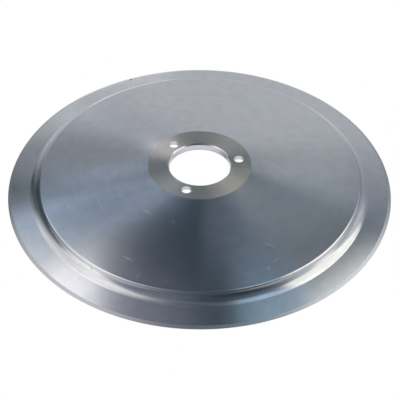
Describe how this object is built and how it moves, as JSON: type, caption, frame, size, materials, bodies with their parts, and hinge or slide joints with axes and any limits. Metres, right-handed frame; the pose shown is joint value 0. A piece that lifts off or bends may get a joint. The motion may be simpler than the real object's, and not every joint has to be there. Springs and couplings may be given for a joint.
{
  "type": "food slicer blade",
  "caption": "Dished circular slicer blade with a plain cutting edge, a coved rim, a conical web, a flat hub face, a central bore and countersunk fixing holes.",
  "frame": {"origin": "centre of the plane of the cutting edge, on the bore's axis", "axes": "+Z along the bore's axis from the cutting edge towards the hub face, +X through the middle of one fixing hole"},
  "size_m": [0.25, 0.25, 0.0165],
  "materials": {
    "ground_steel": "hardened blade steel, circularly ground to a satin shine, with a turned hub face"
  },
  "bodies": {
    "root": {"blade": "ground_steel"}
  },
  "joints": []
}
